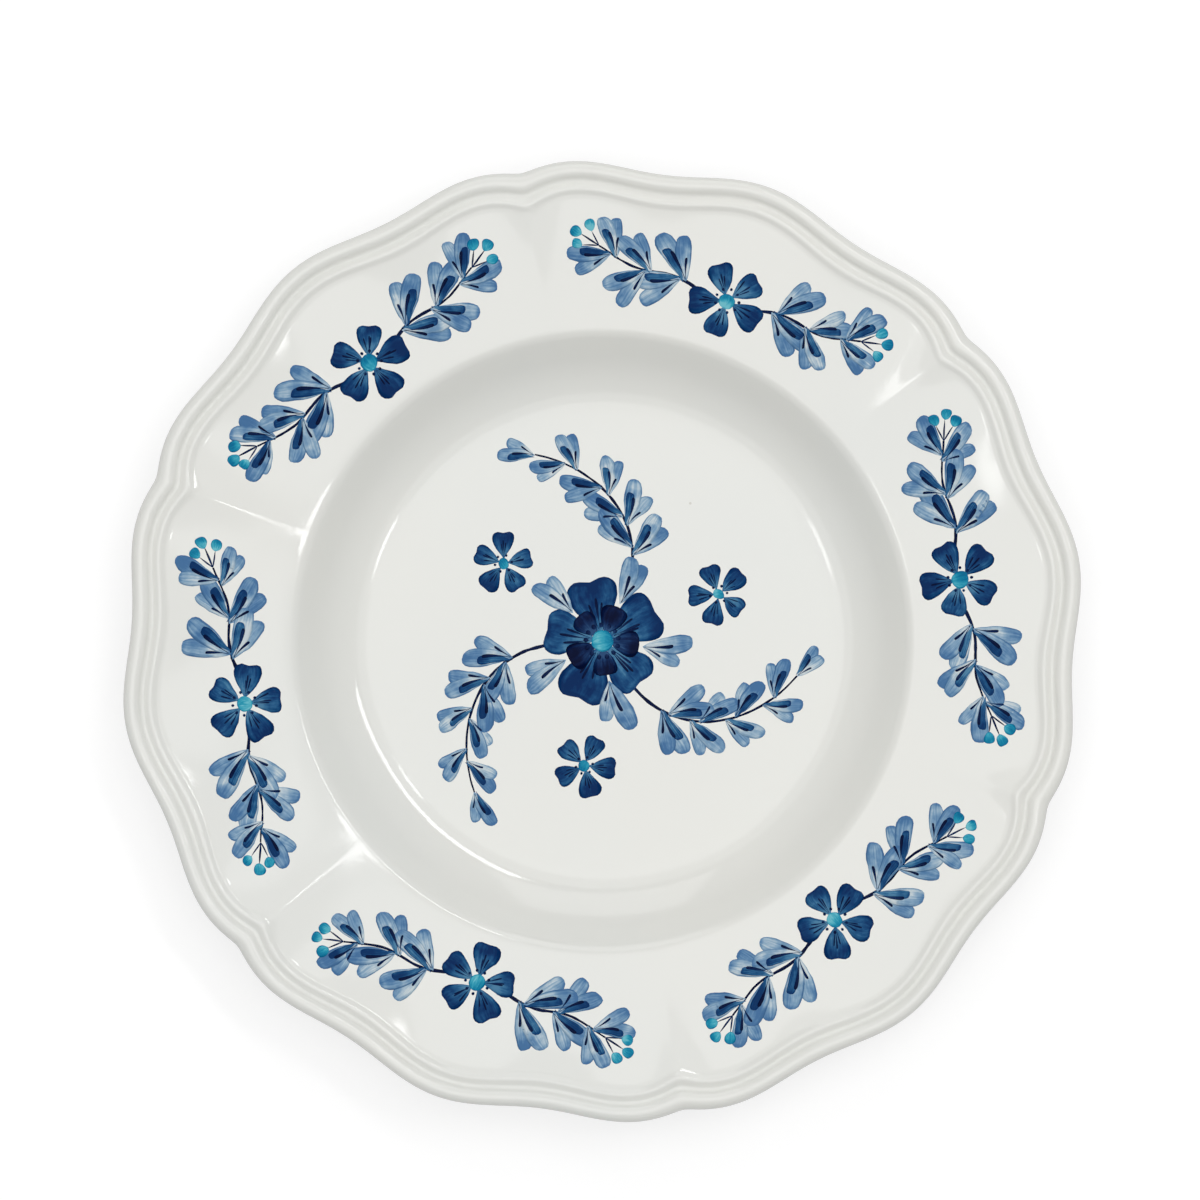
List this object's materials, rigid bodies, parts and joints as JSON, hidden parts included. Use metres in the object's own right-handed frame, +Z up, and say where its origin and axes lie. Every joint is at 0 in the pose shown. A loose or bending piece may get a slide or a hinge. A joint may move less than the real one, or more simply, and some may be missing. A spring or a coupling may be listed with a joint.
{
  "type": "dinner plate",
  "caption": "Round china dinner plate with a lobed, moulded edge, a sloping rim, a deep well and a foot ring.",
  "frame": {"origin": "centre of the plate, in the plane of the foot ring's land", "axes": "+Z up along the plate's axis, +X through the middle of one lobe of the edge"},
  "size_m": [0.27, 0.2674, 0.0285],
  "materials": {
    "biscuit": "bare fired china on the land of the foot ring, fine grained and matt",
    "glaze": "clear glossy glaze over white china, with colours painted on it"
  },
  "bodies": {
    "root": {"ceramic_body": "biscuit", "glaze_coat": "glaze", "recess_glaze": "glaze"}
  },
  "joints": []
}
